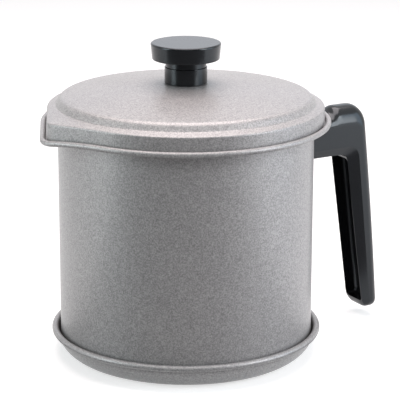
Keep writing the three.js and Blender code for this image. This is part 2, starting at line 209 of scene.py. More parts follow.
def ring_outline(inner, outer, low, high, edge):
    """Section of a flat ring with its four edges rounded."""
    outline = arc((outer - edge, low + edge), edge, -90, 0, hem_steps)
    outline += arc((outer - edge, high - edge), edge, 0, 90, hem_steps)
    outline += arc((inner + edge, high - edge), edge, 90, 180, hem_steps)
    outline += arc((inner + edge, low + edge), edge, 180, 270, hem_steps)
    return outline


def bezier(controls, steps):
    """Points of a Bezier curve of any degree, without its first one."""
    found = []
    for i in range(1, steps + 1):
        row = [Vector(c) for c in controls]
        while len(row) > 1:
            row = [a.lerp(b, i / steps) for a, b in zip(row, row[1:])]
        found.append(row[0])
    return found


def beside(path, distance):
    """The same path moved to its left by a distance, with mitred corners."""
    normals = []
    for a, b in zip(path, path[1:]):
        along = (b - a).normalized()
        normals.append(Vector((-along.y, along.x)))
    moved = []
    for i, point in enumerate(path):
        before = normals[max(i - 1, 0)]
        after = normals[min(i, len(normals) - 1)]
        moved.append(point + (before + after) * (distance / (1 + before.dot(after))))
    return moved


def sheet_outline(path, thickness):
    """A sheet's closed section: the path, its round end, and the same path on the sheet's other side."""
    other = beside(path, thickness)
    middle = (path[-1] + other[-1]) / 2
    spoke = path[-1] - middle
    end = []
    for i in range(1, hem_steps):
        turn = math.copysign(math.pi, thickness) * i / hem_steps
        end.append(middle + Vector((
            spoke.x * math.cos(turn) - spoke.y * math.sin(turn),
            spoke.x * math.sin(turn) + spoke.y * math.cos(turn),
        )))
    return path + end + other[::-1]


# Meshes

def smooth(bm, crease):
    """Shades a bmesh smooth but for edges sharper than the crease."""
    for face in bm.faces:
        face.smooth = True
    for edge in bm.edges:
        edge.smooth = len(edge.link_faces) != 2 or edge.calc_face_angle(0) <= math.radians(crease)


def new_piece(name, bm, crease=sheet_crease):
    """Makes an object of a bmesh, with its faces outwards."""
    bmesh.ops.recalc_face_normals(bm, faces=bm.faces)
    smooth(bm, crease)
    mesh = bpy.data.meshes.new(name)
    bm.to_mesh(mesh)
    bm.free()
    piece = bpy.data.objects.new(name, mesh)
    bpy.context.scene.collection.objects.link(piece)
    return piece


def held(outline):
    """The outline with points close to the ends of its straight stretches, so that they shade flat."""
    points = []
    for a, b in zip(outline, outline[1:]):
        points.append(a)
        length = (b - a).length
        if length > straight_least:
            points += [a.lerp(b, hold / length), b.lerp(a, hold / length)]
    return points + [outline[-1]]


def turned(outline, segments=shell_segments):
    """A closed outline spun about the Z axis."""
    bm = bmesh.new()
    outline = held([Vector(point) for point in outline])
    ring = [bm.verts.new((point[0], 0, point[1])) for point in outline]
    edges = [bm.edges.new(pair) for pair in zip(ring, ring[1:])]
    if outline[0][0] > 0:
        edges.append(bm.edges.new((ring[-1], ring[0])))
    bmesh.ops.spin(
        bm, geom=ring + edges, cent=(0, 0, 0), axis=(0, 0, 1), angle=2 * math.pi,
        steps=segments, use_merge=True,
    )
    bmesh.ops.remove_doubles(bm, verts=bm.verts, dist=weld)
    return bm


def lofted(sections):
    """Skins a row of closed sections with their points in the same order, and closes both ends."""
    bm = bmesh.new()
    place = bm.verts.layers.int.new("place")
    ring = []
    for i, point in enumerate(sections[0]):
        vert = bm.verts.new(point)
        vert[place] = i
        ring.append(vert)
    edges = [bm.edges.new((ring[i - 1], ring[i])) for i in range(len(ring))]
    bmesh.ops.contextual_create(bm, geom=edges)
    for section in sections[1:]:
        grown = bmesh.ops.extrude_edge_only(bm, edges=edges)["geom"]
        verts = {g for g in grown if isinstance(g, bmesh.types.BMVert)}
        for vert in verts:
            vert.co = section[vert[place]]
        edges = [
            g for g in grown
            if isinstance(g, bmesh.types.BMEdge) and g.verts[0] in verts and g.verts[1] in verts
        ]
    bmesh.ops.contextual_create(bm, geom=edges)
    ends = [face for face in bm.faces if len(face.verts) > 4]
    bmesh.ops.inset_individual(bm, faces=ends, thickness=hold)
    return bm


def settle(piece):
    """Applies a piece's modifiers to its mesh."""
    graph = bpy.context.evaluated_depsgraph_get()
    mesh = bpy.data.meshes.new_from_object(piece.evaluated_get(graph))
    piece.modifiers.clear()
    piece.data = mesh
    return piece


def carve(piece, tools):
    """Cuts tools out of a piece, and removes them."""
    for tool in tools:
        cut = piece.modifiers.new("cut", "BOOLEAN")
        cut.operation = "DIFFERENCE"
        cut.solver = "EXACT"
        cut.object = tool
    bpy.context.view_layer.update()
    settle(piece)
    for tool in tools:
        bpy.data.objects.remove(tool)
    return piece


def shade(piece, crease=sheet_crease):
    """Shades a carved piece smooth but for its sharp edges."""
    bm = bmesh.new()
    bm.from_mesh(piece.data)
    smooth(bm, crease)
    bm.to_mesh(piece.data)
    bm.free()
    return piece


# The rim and the lid's edge are drawn out to the spout

rim_radius = pot_high.x
spout_reach = -pot_low.x


def rim_outline(radius, angle):
    """Distance from the axis of the outline that has this radius away from the spout."""
    tip_centre = spout_reach - spout_tip
    tip = max(spout_tip + radius - rim_radius, spout_least)
    tangent = math.acos((radius - tip) / tip_centre)
    tip_end = math.atan2(tip * math.sin(tangent), tip_centre + tip * math.cos(tangent))
    if angle >= tangent:
        return radius
    if angle >= tip_end:
        return radius / math.cos(tangent - angle)
    side = tip_centre * math.sin(angle)
    return tip_centre * math.cos(angle) + math.sqrt(tip * tip - side * side)


def draw_spout(bm, inner_radius, outer_radius, level_z, dipped_z):
    """Draws a turned shell out to the spout between two radii, and dips it towards the tip."""
    for vert in bm.verts:
        radius = math.hypot(vert.co.x, vert.co.y)
        share = min(max((radius - inner_radius) / (outer_radius - inner_radius), 0), 1)
        if share == 0:
            continue
        turn = math.atan2(vert.co.y, -vert.co.x)
        near = max(1 - (turn / spout_crowd_angle) ** 2, 0)
        angle = turn * (1 - spout_crowd_share * share * near * near)
        pull = share * (rim_outline(radius, abs(angle)) - radius)
        sink = min(max((level_z - vert.co.z) / (level_z - dipped_z), 0), 1)
        drawn = radius + pull
        height = vert.co.z - spout_dip * sink * pull / (spout_reach - rim_radius)
        vert.co = (-drawn * math.cos(angle), drawn * math.sin(angle), height)


# Coated steel shells

def make_tray():
    """Pressed tray: a flat floor, a wide corner and a rim curled outwards."""
    wall = tray_high.x - tray_bead - tray_bead_stand_out
    foot = wall - tray_corner
    bead = (wall + tray_bead_stand_out, tray_high.z - tray_bead)
    inner = wall - tray_sheet
    over = math.degrees(math.acos((inner - bead[0]) / tray_bead))
    path = [Vector((0, tray_sheet))]
    path += arc((foot, tray_corner), tray_corner - tray_sheet, -90, 0, 2 * corner_steps)
    path += arc(bead, tray_bead, over, curl_end, bead_steps)
    bm = turned(sheet_outline(path, -tray_sheet))
    return new_piece("tray_shell", bm)


pot_top = pot_high.z
shelf_top = pot_top - rim_step


def make_pot():
    """Drawn pot: a rounded base corner, a straight wall, a flared shelf and a curled rim."""
    foot = tray_high.x - tray_bead - tray_bead_stand_out - tray_corner
    corner = pot_radius - foot
    flare = (pot_radius + pot_flare, shelf_top - pot_sheet - pot_flare)
    bead = (rim_radius - pot_bead, pot_top - pot_bead)
    over = 180 - math.degrees(math.asin((shelf_top - bead[1]) / pot_bead))
    path = [Vector((0, pot_low.z + pot_sheet))]
    path += arc((foot, pot_low.z + corner), corner - pot_sheet, -90, 0)
    path += arc(flare, pot_flare + pot_sheet, 180, 90)
    path += arc(bead, pot_bead, over, curl_end, bead_steps)
    bm = turned(sheet_outline(path, -pot_sheet))
    draw_spout(bm, pot_radius, bead[0] - pot_bead, pot_top + rim_step, pot_top)
    return new_piece("pot_shell", bm)


skirt_radius = lid_high.x
skirt_bottom = shelf_top + fit_gap
skirt_top = skirt_bottom + lid_skirt_height
lid_foot_radius = skirt_radius - lid_flange_width
lid_foot_z = skirt_top + lid_flange_rise
lid_shoulder_z = lid_foot_z + lid_shoulder_rise


def make_lid():
    """Pressed lid: a low dome, a shoulder, a flange and a skirt."""
    shoulder = lid_foot_radius - lid_shoulder_width
    seat_area = lid_seat ** 2
    path = [Vector((knob_hole, lid_high.z))]
    for i in range(lid_dome_steps + 1):
        r = lid_seat + (shoulder - lid_seat) * i / lid_dome_steps
        drop = (r * r - seat_area) / (shoulder ** 2 - seat_area)
        path.append(Vector((r, lid_high.z - lid_dome_rise * drop)))
    bulge = shoulder + lid_shoulder_width * lid_shoulder_bulge_share
    path += bezier([
        (shoulder, lid_shoulder_z),
        (bulge, lid_shoulder_z - lid_shoulder_rise * lid_shoulder_top_share),
        (bulge, lid_foot_z + lid_shoulder_rise * lid_shoulder_foot_share),
        (lid_foot_radius, lid_foot_z),
    ], lid_shoulder_steps)
    path += arc((skirt_radius - lid_edge, skirt_top - lid_edge), lid_edge, lid_edge_angle, 0)
    path.append(Vector((skirt_radius, skirt_bottom + lid_sheet / 2)))
    bm = turned(sheet_outline(path, -lid_sheet))
    draw_spout(bm, lid_foot_radius, skirt_radius - lid_sheet, lid_shoulder_z, skirt_bottom)
    return new_piece("lid_pressing", bm)


# Knob

def make_knob():
    """Knob: a disc on a neck, with the bore for its insert."""
    top = cap_high.z
    under = top - knob_disc
    r = cap_high.x
    foot = cap_low.z - neck_reach
    outline = [Vector((0, top))]
    outline += arc((r - knob_edge, top - knob_edge), knob_edge, 90, 0)
    outline += arc((knob_under - knob_foot_edge, under + knob_foot_edge), knob_foot_edge, 0, -90)
    outline += arc((knob_neck + knob_neck_corner, under - knob_neck_corner), knob_neck_corner, 90, 180)
    outline += arc((knob_neck - moulding_edge, foot + moulding_edge), moulding_edge, 0, -90, hem_steps)
    outline += [
        Vector((insert_bore, foot)),
        Vector((insert_bore, cap_low.z + insert_room)),
        Vector((0, cap_low.z + insert_room)),
    ]
    return new_piece("knob_disc", turned(outline))


def make_collar():
    """Collar between the knob's neck and the lid."""
    r = collar_high.x
    low = collar_low.z
    high = collar_high.z
    edge = moulding_edge
    outline = arc((r - edge, low + edge), edge, -90, 0, hem_steps)
    outline += arc((r - edge, high - edge), edge, 0, 90, hem_steps)
    outline += [Vector((knob_hole, high)), Vector((knob_hole, low))]
    return new_piece("knob_neck_collar", turned(outline))


# Handle

block_under = grip_high.z - block_depth
grip_top_inner = pot_radius + finger_room
grip_low_outer = grip_high.x
grip_low_inner = grip_low_outer - grip_low_depth
grip_top_outer = grip_top_inner + grip_top_depth
half_width = grip_high.y


def grip_section(y, bevel, back, crown):
    """The handle's side view at a place across it, with its sides drawn in.

    The bevel of the pot side is a share, and the back and the crown are depths.
    """
    wall = pot_radius - overrun
    top = grip_high.z - crown
    neck = top - neck_drop * (1 - crown / crown_height)
    low = grip_low.z + back
    under = block_under + bevel * bevel_under
    toe_depth = grip_low_depth - bevel * bevel_low - back
    toe = min(toe_round, toe_depth * toe_share)
    inner_toe = min(inner_toe_round, toe + inner_toe_round - toe_round)
    shoulder = shoulder_round - back
    lean = (grip_low_outer - grip_top_outer) / (grip_high.z - shoulder_round - grip_low.z)
    crook = crook_round + bevel * bevel_under / 2
    x_top = grip_top_inner + bevel * bevel_top
    x_low = grip_low_inner + bevel * bevel_low
    x_out = grip_low_outer - back
    x_back = grip_top_outer - back
    middle = ((x_out + x_back) / 2 + grip_bow, (top - shoulder + low) / 2)
    rise = thumb_start + thumb_round / 2
    points = [Vector((wall, under))]
    points += bezier([(wall, under), (x_top - crook, under)], corner_steps)
    points += bezier([
        (x_top - crook, under), (x_top, under), (x_top + lean * crook, under - crook),
    ], corner_steps)
    points += bezier([
        (x_top + lean * crook, under - crook), (x_low - lean * inner_toe, low + inner_toe),
    ], corner_steps)
    points += bezier([
        (x_low - lean * inner_toe, low + inner_toe), (x_low, low), (x_low + toe, low),
    ], corner_steps)
    points += bezier([(x_low + toe, low), (x_out - toe, low)], hem_steps)
    points += bezier([(x_out - toe, low), (x_out, low), (x_out, low + toe)], corner_steps)
    points += bezier([(x_out, low + toe), middle, (x_back, top - shoulder)], 2 * corner_steps)
    points += bezier([
        (x_back, top - shoulder), (x_back - lean * shoulder, top - shoulder * shoulder_ease_share),
        (x_back - shoulder / 2, top), (x_back - shoulder, top),
    ], corner_steps)
    points += bezier([(x_back - shoulder, top), (thumb_start + thumb_round, top)], hem_steps)
    points += bezier([
        (thumb_start + thumb_round, top), (rise, top), (rise, neck), (thumb_start, neck),
    ], 2 * corner_steps)
    points += bezier([(thumb_start, neck), (wall, neck)], hem_steps)
    return [Vector((p.x, y, p.y)) for p in points]


def make_grip():
    """Handle: a loft across its width, with a crowned top, a round back, bevelled sides and a channel."""
    places = {half_width * math.sin(math.pi / 2 * i / crown_steps) for i in range(1, crown_steps + 1)}
    half = []
    for across in sorted(places | {half_width - bevel_depth}):
        bevel = max(across - half_width + bevel_depth, 0) / bevel_depth
        off_back = max(across - half_width + back_round, 0) / back_round
        back = back_round * (1 - math.sqrt(1 - off_back ** 2))
        crown = crown_height * (1 - max(1 - (across / half_width) ** crown_shape, 0) ** (1 / crown_shape))
        half.append((across, bevel, back, crown))
    rows = [(-y, *drawn_in) for y, *drawn_in in half[::-1]] + [(0, 0, 0, 0)] + half
    bm = lofted([grip_section(*row) for row in rows])
    grip = new_piece("handle_moulding", bm)
    tools = [channel_tool(), wall_tool(), screw_tool(), bracket_tool()]
    return shade(carve(grip, tools), moulding_crease)


def rounded_box_section(half_across, low, high, corner):
    """A rounded rectangle in the plane across and along the channel."""
    points = []
    corners = (
        (half_across, high, 0), (-half_across, high, 90),
        (-half_across, low, 180), (half_across, low, 270),
    )
    for across, along, start in corners:
        centre = (
            across - math.copysign(corner, across),
            along - corner if along == high else along + corner,
        )
        points += arc(centre, corner, start, start + 90, hem_steps)
    return points


def channel_tool():
    """The channel in the grip's pot side, with drafted walls, a flared mouth and a round floor."""
    foot = Vector((grip_low_inner, 0, grip_low.z))
    head = Vector((grip_top_inner, 0, block_under))
    up = (head - foot).normalized()
    into = Vector((up.z, 0, -up.x))
    low = channel_toe
    high = (head - foot).length - channel_head
    width = half_width - channel_wall
    levels = [(-finger_room / 2, rim_round), (-rim_round, rim_round)]
    for i in range(1, hem_steps + 1):
        turn = math.pi / 2 * i / hem_steps
        levels.append((rim_round * math.sin(turn) - rim_round / 2, rim_round * math.cos(turn)))
    for i in range(hem_steps + 1):
        turn = math.pi / 2 * i / hem_steps
        depth = channel_depth - channel_corner + channel_corner * math.sin(turn)
        levels.append((depth, channel_corner * (math.cos(turn) - 1) - channel_draft))
    sections = []
    for depth, grow in levels:
        box = rounded_box_section(width + grow, low - grow, high + grow, channel_corner)
        sections.append([
            foot + up * along + into * depth + Vector((0, across, 0)) for across, along in box
        ])
    return new_piece("channel_tool", lofted(sections))


def wall_tool():
    """The pot's wall and the room round it."""
    high = pot_top + overrun
    outline = [(0, -overrun), (pot_radius + fit_gap, -overrun), (pot_radius + fit_gap, high), (0, high)]
    return new_piece("wall_tool", turned(outline))


screw_x = (handle_screw_low.x + handle_screw_high.x) / 2


def screw_tool():
    """The recess for the handle's screw."""
    shelf = handle_washer_high.z + fit_gap
    hole = handle_recess / 2
    outline = [
        (0, block_under - overrun), (handle_recess + rim_round, block_under - overrun),
        (handle_recess + rim_round, block_under), (handle_recess, block_under + rim_round),
        (handle_recess, shelf), (hole, shelf), (hole, handle_screw_high.z + fit_gap),
        (0, handle_screw_high.z + fit_gap),
    ]
    bm = turned(outline, small_segments)
    bmesh.ops.translate(bm, verts=bm.verts, vec=(screw_x, 0, 0))
    return new_piece("screw_tool", bm)


def bracket_tool():
    """The room for the bracket's plate and tongue."""
    wall = pot_radius - overrun
    plate = bracket_low.x + 2 * bracket_sheet + fit_gap
    tongue = bracket_high.x + fit_gap
    low = bracket_low.z - fit_gap
    high = bracket_high.z + fit_gap
    under = bracket_high.z - bracket_sheet - fit_gap
    outline = [(wall, low), (plate, low), (plate, under), (tongue, under), (tongue, high), (wall, high)]
    side = bracket_high.y + fit_gap
    sections = [[Vector((x, y, z)) for x, z in outline] for y in (-side, side)]
    return new_piece("bracket_tool", lofted(sections))


# Strainer

lip_inner = strainer_band - strainer_lip
flange_under = shelf_top + fit_gap


def make_strainer_band():
    """Band with a flange that rests on the pot's shelf and a lip that carries the mesh."""
    outer = [Vector((lip_inner, band_low.z))]
    outer += arc((strainer_band - strainer_bend, band_low.z + strainer_bend), strainer_bend, -90, 0)
    bend = (strainer_band + strainer_bend, flange_under - strainer_bend)
    outer += arc(bend, strainer_bend, 180, 90)
    outer.append(Vector((band_high.x, flange_under)))
    return new_piece("strainer_band", turned(sheet_outline(outer, strainer_sheet)))


def make_clamp_ring():
    """Ring that holds the mesh's edge down on the lip."""
    outer = clamp_high.x
    low = clamp_low.z
    high = clamp_high.z
    edge = (high - low) / 3
    return new_piece("strainer_clamp", turned(ring_outline(outer - clamp_width, outer, low, high, edge)))


def make_weave():
    """Bowl of woven wire: two sets of wires that pass over and under each other."""
    bowl = lip_inner - fit_gap - wire_radius
    rim = weave_high.z - bowl_rim_drop - wire_radius
    depth = rim - weave_low.z - 2 * wire_radius
    count = int(bowl / wire_pitch)
    curve = bpy.data.curves.new("strainer_weave", "CURVE")
    curve.dimensions = "3D"
    curve.bevel_depth = wire_radius
    curve.bevel_resolution = 0
    curve.use_fill_caps = True
    for set_number in (0, 1):
        for i in range(-count, count + 1):
            add_wire(curve, set_number, i, bowl, rim, depth)
    wires = bpy.data.objects.new("strainer_weave", curve)
    bpy.context.scene.collection.objects.link(wires)
    bpy.context.view_layer.update()
    graph = bpy.context.evaluated_depsgraph_get()
    mesh = bpy.data.meshes.new_from_object(wires.evaluated_get(graph))
    bpy.data.objects.remove(wires)
    bm = turned(pressed_edge(bowl))
    bm.from_mesh(mesh)
    return new_piece("strainer_weave", bm, wire_crease)


def pressed_edge(bowl):
    """Section of the mesh's edge, pressed flat under the clamp ring."""
    inner = bowl - wire_radius
    outer = weave_high.x
    top = weave_high.z
    under = top - bowl_rim_drop
    return [
        (inner, under - bowl_rim_drop), (inner + bowl_rim_drop, under - bowl_rim_drop),
        (inner + bowl_rim_drop, under), (outer, under), (outer, top), (inner, top),
    ]


def add_wire(curve, set_number, index, bowl, rim, depth):
    """One wire of the bowl, with a point at each crossing."""
    offset = index * wire_pitch
    reach = math.sqrt(bowl ** 2 - offset ** 2)
    crossings = int(reach / wire_pitch)
    ends = [-reach] + [k * wire_pitch for k in range(-crossings, crossings + 1)] + [reach]
    spline = curve.splines.new("POLY")
    spline.points.add(len(ends) - 1)
    for place, along in enumerate(ends):
        x, y = (offset, along) if set_number == 0 else (along, offset)
        slope = math.sqrt(max(1 - (x * x + y * y) / bowl ** 2, 0))
        point = Vector((x, y, rim - depth * slope))
        normal = Vector((x / bowl ** 2, y / bowl ** 2, (point.z - rim) / depth ** 2)).normalized()
        crossing = round(along / wire_pitch)
        side = 1 if (crossing + index + set_number) % 2 else -1
        lift = wire_radius * side if 0 < place < len(ends) - 1 else 0
        spline.points[place].co = (*(point + normal * lift), 1)


def make_tab(turn, name):
    """Pull tab: a sheet that stands against the band and folds inwards."""
    face = tab_high.y
    high = tab_high.z
    width = tab_high.x - tab_low.x
    reach = tab_high.y - tab_low.y
    bend = tab_fold + tab_sheet
    path = [Vector((face, tab_low.z))]
    path += arc((face - bend, high - bend), bend, 0, 90, hem_steps)
    path.append(Vector((face - reach + tab_corner, high)))
    path.append(Vector((face - reach, high)))
    bm = bmesh.new()
    row = [bm.verts.new((p.x, -width / 2, p.y)) for p in path]
    edges = [bm.edges.new(pair) for pair in zip(row, row[1:])]
    grown = bmesh.ops.extrude_edge_only(bm, edges=edges)["geom"]
    verts = [g for g in grown if isinstance(g, bmesh.types.BMVert)]
    bmesh.ops.translate(bm, verts=verts, vec=(0, width, 0))
    corners = [
        vert for vert in bm.verts
        if abs(vert.co.x - (face - reach)) < fit_gap or abs(vert.co.z - tab_low.z) < fit_gap
    ]
    bmesh.ops.bevel(
        bm, geom=corners, offset=tab_round, offset_type="OFFSET", segments=corner_steps,
        profile=0.5, affect="VERTICES", material=-1,
    )
    bmesh.ops.recalc_face_normals(bm, faces=bm.faces)
    bmesh.ops.rotate(bm, verts=bm.verts, cent=(0, 0, 0), matrix=Matrix.Rotation(turn, 3, "Z"))
    tab = new_piece(name, bm)
    wall = tab.modifiers.new("sheet", "SOLIDIFY")
    wall.thickness = tab_sheet
    wall.offset = -1
    edge = tab.modifiers.new("edge", "BEVEL")
    edge.width = tab_edge
    edge.segments = 2
    edge.limit_method = "ANGLE"
    bpy.context.view_layer.update()
    return settle(tab)


# Fasteners

def make_screw(name, node_low, node_high, shank, head_height):
    """Pan-head screw, head down, with a cross recess in its head."""
    head = (node_high.x - node_low.x) / 2
    middle = (node_low.x + node_high.x) / 2
    low = node_low.z
    outline = [Vector((0, low))]
    outline += bezier([(0, low), (head, low), (head, low + head_height / 2)], corner_steps)
    outline += [
        Vector((head, low + head_height)), Vector((shank, low + head_height)),
        Vector((shank, node_high.z - shank / 2)), Vector((shank / 2, node_high.z)),
        Vector((0, node_high.z)),
    ]
    bm = turned(outline, small_segments)
    bmesh.ops.translate(bm, verts=bm.verts, vec=(middle, 0, 0))
    screw = new_piece(name, bm)
    tools = []
    for across, along in ((cross_slot, head), (head, cross_slot)):
        slot = bmesh.new()
        place = Matrix.Translation((middle, 0, low)) @ Matrix.Diagonal((across, along, head_height, 1))
        bmesh.ops.create_cube(slot, size=1, matrix=place)
        tools.append(new_piece("cross_tool", slot))
    return shade(carve(screw, tools))


def make_washer(name, node_low, node_high, bore):
    """Flat washer with broken edges."""
    outer = (node_high.x - node_low.x) / 2
    middle = (node_low.x + node_high.x) / 2
    edge = (node_high.z - node_low.z) / 4
    bm = turned(ring_outline(bore, outer, node_low.z, node_high.z, edge), small_segments)
    bmesh.ops.translate(bm, verts=bm.verts, vec=(middle, 0, 0))
    return new_piece(name, bm)


# Shader maths

class Signal:
    """A socket of a material that can be used in sums."""

    def __init__(self, shader, socket):
        self.shader = shader
        self.socket = socket

    def math(self, operation, a, b):
        return self.shader.add("ShaderNodeMath", {"operation": operation}, {0: a, 1: b})

    def __add__(self, other):
        return self.math("ADD", self, other)

    def __radd__(self, other):
        return self.math("ADD", other, self)

    def __mul__(self, other):
        return self.math("MULTIPLY", self, other)

    def __rmul__(self, other):
        return self.math("MULTIPLY", other, self)


class Shader:
    """A material or world under construction."""

    def __init__(self, tree):
        self.tree = tree
        tree.nodes.clear()

    def add(self, kind, settings=None, inputs=None, out=0):
        """Adds a node of a type with its settings and its sockets' values or links."""
        node = self.tree.nodes.new(kind)
        for key, value in (settings or {}).items():
            if key == "stops":
                set_stops(node.color_ramp, value)
            else:
                setattr(node, key, value)
        for key, value in (inputs or {}).items():
            socket = node.inputs[key]
            if isinstance(value, Signal):
                self.tree.links.new(value.socket, socket)
            else:
                socket.default_value = value
        return Signal(self, node.outputs[out]) if node.outputs else node

    def mix(self, factor, a, b):
        """Mixes two colours."""
        settings = {"data_type": "RGBA"}
        return self.add("ShaderNodeMix", settings, {"Factor": factor, "A": a, "B": b}, "Result")


def set_stops(ramp, stops):
    """Gives a ramp its stops, each a place and a grey."""
    while len(ramp.elements) < len(stops):
        ramp.elements.new(1)
    for element, (place, value) in zip(ramp.elements, stops):
        element.position = place
        element.color = grey(value)


def colour(r, g, b):
    """A linear colour of three shares."""
    return (r, g, b, 1)


def grey(share):
    return colour(share, share, share)


def finish_material(shader, values, bump=None):
    """Ends a material in one principled shader."""
    inputs = dict(values)
    if bump is not None:
        height, distance, strength = bump
        inputs["Normal"] = shader.add(
            "ShaderNodeBump", inputs={"Height": height, "Distance": distance, "Strength": strength})
    surface = shader.add("ShaderNodeBsdfPrincipled", inputs=inputs)
    shader.add("ShaderNodeOutputMaterial", inputs={"Surface": surface})


def new_material(name):
    material = bpy.data.materials.new(name)
    material.use_nodes = True
    return material, Shader(material.node_tree)


def object_place(shader):
    return shader.add("ShaderNodeTexCoord", out="Object")


def noise(shader, place, scale, detail=2, roughness=0.5):
    return shader.add(
        "ShaderNodeTexNoise",
        inputs={"Vector": place, "Scale": scale, "Detail": detail, "Roughness": roughness},
    )


def coated_steel():
    """Silver-grey non-stick coat: fine flakes in a dark binder, over drawn steel."""
    material, shader = new_material("coated_steel")
    place = object_place(shader)
    flakes = noise(shader, place, 1350, 3, 0.65)
    mottle = noise(shader, place, 480, 2, 0.6)
    cloud = noise(shader, place, 22, 3, 0.5)
    grain = flakes * 0.8 + mottle * 0.2
    stops = [(0.34, 0.0), (0.5, 0.5), (0.64, 1.0)]
    light = shader.add("ShaderNodeValToRGB", {"stops": stops}, {"Fac": grain})
    dark_grey = colour(0.20, 0.197, 0.198)
    pale_grey = colour(0.43, 0.421, 0.421)
    base = shader.mix(light, dark_grey, pale_grey)
    drift = shader.mix(cloud, colour(0.93, 0.93, 0.94), colour(1.05, 1.04, 1.03))
    base = shader.add(
        "ShaderNodeMix", {"data_type": "RGBA", "blend_type": "MULTIPLY"},
        {"Factor": 1.0, "A": base, "B": drift}, "Result")
    finish_material(
        shader,
        {
            "Base Color": base,
            "Metallic": 0.33,
            "Roughness": 0.38 + mottle * 0.14,
            "Coat Weight": 0.25,
            "Coat Roughness": 0.22,
        },
        (grain, 0.05 * mm, 0.35),
    )
    return material


def black_moulding():
    """Black phenolic moulding with a fine satin texture."""
    material, shader = new_material("black_moulding")
    place = object_place(shader)
    grain = noise(shader, place, 1500, 3, 0.6)
    cloud = noise(shader, place, 60, 3, 0.5)
    base = shader.mix(cloud, colour(0.0045, 0.0046, 0.0052), colour(0.0065, 0.0067, 0.0078))
    finish_material(
        shader,
        {
            "Base Color": base,
            "Roughness": 0.15 + grain * 0.06 + cloud * 0.03,
            "Specular IOR Level": 0.45,
            "Specular Tint": colour(0.86, 0.94, 1.0),
        },
        (grain, 0.03 * mm, 0.2),
    )
    return material


def stainless():
    """Stamped stainless steel with fine lathe rings."""
    material, shader = new_material("stainless")
    place = object_place(shader)
    level = shader.add("ShaderNodeVectorMath", {"operation": "MULTIPLY"}, {0: place, 1: (1, 1, 0)})
    radius = shader.add("ShaderNodeVectorMath", {"operation": "LENGTH"}, {0: level}, "Value")
    rings = shader.add(
        "ShaderNodeTexNoise", {"noise_dimensions": "1D"},
        {"W": radius * 2600, "Scale": 1.0, "Detail": 2, "Roughness": 0.6})
    smudge = noise(shader, place, 90, 3, 0.5)
    base = shader.mix(smudge, colour(0.56, 0.56, 0.57), colour(0.68, 0.68, 0.67))
    finish_material(
        shader,
        {"Base Color": base, "Metallic": 1.0, "Roughness": 0.2 + rings * 0.14 + smudge * 0.08},
        (rings, 0.015 * mm, 0.3),
    )
    return material


def wire_steel():
    """Drawn stainless wire, a little dulled in use."""
    material, shader = new_material("wire_steel")
    place = object_place(shader)
    dull = noise(shader, place, 140, 3, 0.6)
    base = shader.mix(dull, colour(0.40, 0.39, 0.38), colour(0.62, 0.62, 0.61))
    finish_material(
        shader,
        {"Base Color": base, "Metallic": 1.0, "Roughness": 0.26 + dull * 0.16},
        (noise(shader, place, 2400), 0.01 * mm, 0.2),
    )
    return material


def plain_brass():
    """Turned brass."""
    material, shader = new_material("plain_brass")
    place = object_place(shader)
    tarnish = noise(shader, place, 200, 3, 0.6)
    base = shader.mix(tarnish, colour(0.42, 0.27, 0.09), colour(0.60, 0.43, 0.17))
    finish_material(
        shader,
        {"Base Color": base, "Metallic": 1.0, "Roughness": 0.28 + tarnish * 0.16},
        (tarnish, 0.01 * mm, 0.2),
    )
    return material


# Studio

view_azimuth = math.radians(-30)
view_elevation = math.radians(15.82)
view_distance = 1055 * mm
view_height = 79.7 * mm
picture_width = 400
axis_pixel = (185.9, 205.0)
focal_pixels = 1980.8
sensor_width = 36
world_light = 0.22
floor_radius = 3
floor_glow = 0.6

# Lamps: azimuth from the camera's and elevation in degrees, distance, width, height, power and tint
lamps = {
    "front_softbox": (0, 38, 1.0, 0.6, 0.4, 1.0, (1, 1, 1)),
    "left_front_softbox": (-68, 10, 0.9, 0.4, 0.9, 5.2, (0.88, 0.98, 1)),
    "right_front_softbox": (61, 20, 0.9, 0.3, 0.7, 5.2, (0.97, 0.98, 1)),
    "right_softbox": (85, 10, 0.9, 0.4, 0.9, 2.5, (0.65, 0.83, 1)),
    "top_softbox": (180, 80, 1.0, 0.9, 0.9, 12.9, (1, 0.88, 0.865)),
    "back_softbox": (180, 25, 1.1, 1.2, 0.5, 0.6, (0.57, 0.71, 1)),
}


def direction(azimuth, elevation):
    """Unit vector from the pot towards a place round it. Azimuth 0 is along -Y."""
    return Vector((
        math.sin(azimuth) * math.cos(elevation),
        -math.cos(azimuth) * math.cos(elevation),
        math.sin(elevation),
    ))


def place_facing(item, away, distance):
    """Puts a camera or a lamp at a distance from the middle of the pot, turned towards it."""
    bpy.context.scene.collection.objects.link(item)
    item.location = Vector((0, 0, view_height)) + away * distance
    item.rotation_mode = "QUATERNION"
    item.rotation_quaternion = (-away).to_track_quat("-Z", "Y")


def make_camera():
    data = bpy.data.cameras.new("camera")
    data.sensor_width = sensor_width
    data.lens = sensor_width * focal_pixels / picture_width
    data.shift_x = 0.5 - axis_pixel[0] / picture_width
    data.shift_y = axis_pixel[1] / picture_width - 0.5
    camera = bpy.data.objects.new("camera", data)
    place_facing(camera, direction(view_azimuth, view_elevation), view_distance)
    bpy.context.scene.camera = camera


def softbox(name, azimuth, elevation, distance, width, height, power, tint):
    """Area lamp that faces the middle of the pot."""
    data = bpy.data.lights.new(name, "AREA")
    data.shape = "RECTANGLE"
    data.size = width
    data.size_y = height
    data.energy = power
    data.color = tint
    away = direction(view_azimuth + math.radians(azimuth), math.radians(elevation))
    place_facing(bpy.data.objects.new(name, data), away, distance)


def seen_directly(shader):
    """One for rays from the camera and for those that metal or glass send on."""
    camera = shader.add("ShaderNodeLightPath", out="Is Camera Ray")
    glossy = shader.add("ShaderNodeLightPath", out="Is Glossy Ray")
    through = shader.add("ShaderNodeLightPath", out="Is Transmission Ray")
    return camera.math("MAXIMUM", camera.math("MAXIMUM", camera, glossy), through)


